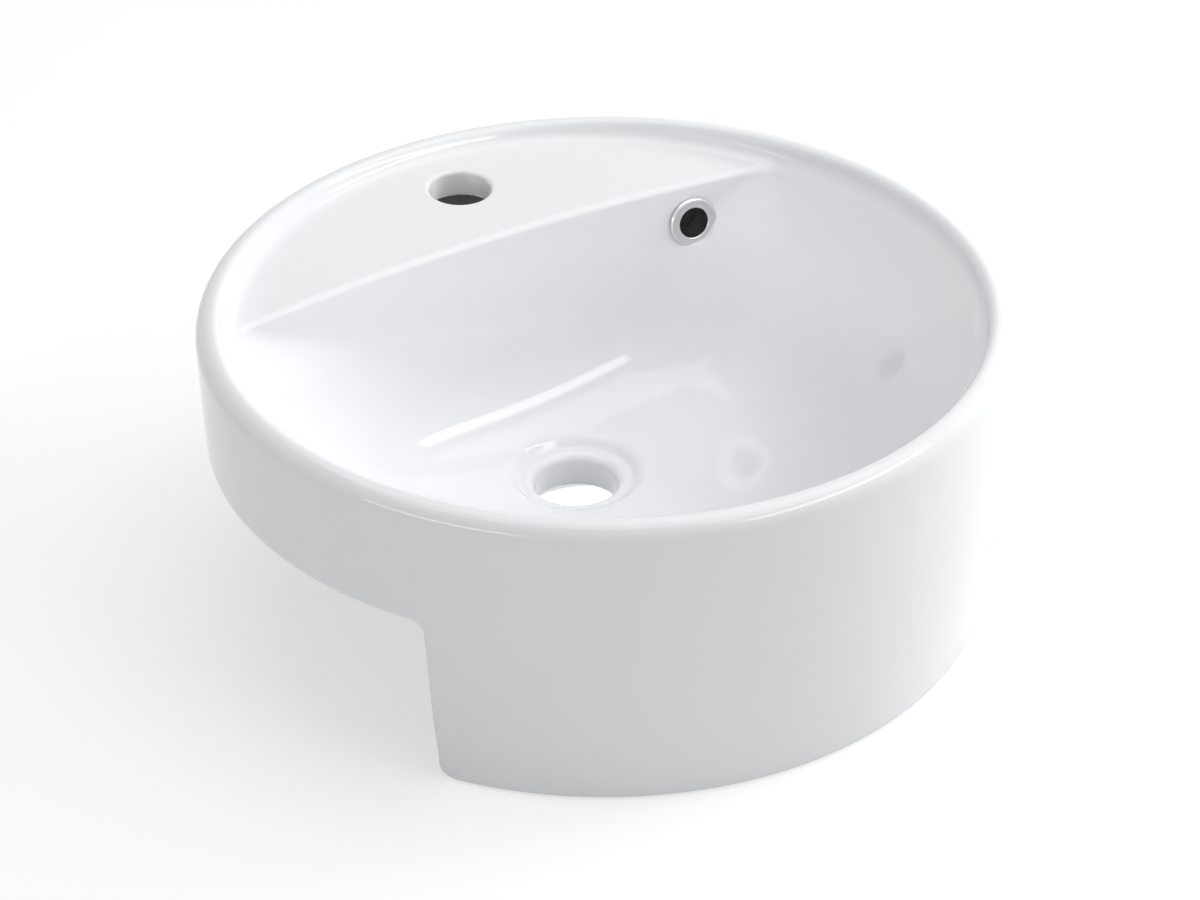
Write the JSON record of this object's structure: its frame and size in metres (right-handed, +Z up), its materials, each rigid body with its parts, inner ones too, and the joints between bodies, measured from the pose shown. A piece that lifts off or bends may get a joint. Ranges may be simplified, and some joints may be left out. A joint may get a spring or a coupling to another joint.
{
  "type": "semi recessed basin",
  "caption": "Round semi recessed wash basin: ceramic bowl with a front apron, rear tap ledge with one tap hole, waste hole and a side overflow with a chrome ring",
  "frame": {"origin": "on the axis of the round rim, in the plane of the foot on which the basin stands", "axes": "+Z up out of the bowl, +Y from the front apron to the tap ledge, +X to the right when facing the basin"},
  "size_m": [0.43, 0.4298, 0.168],
  "materials": {
    "glazed_china": "clear gloss glaze on white vitreous china",
    "duct_china": "unglazed fired china, matte",
    "ring_chrome": "bright chrome plate",
    "sleeve_rubber": "soft grey rubber, matte"
  },
  "bodies": {
    "root": {"basin_body": "glazed_china", "overflow_duct": "duct_china", "overflow_trim_ring": "ring_chrome", "overflow_ring_sleeve": "sleeve_rubber"}
  },
  "joints": []
}
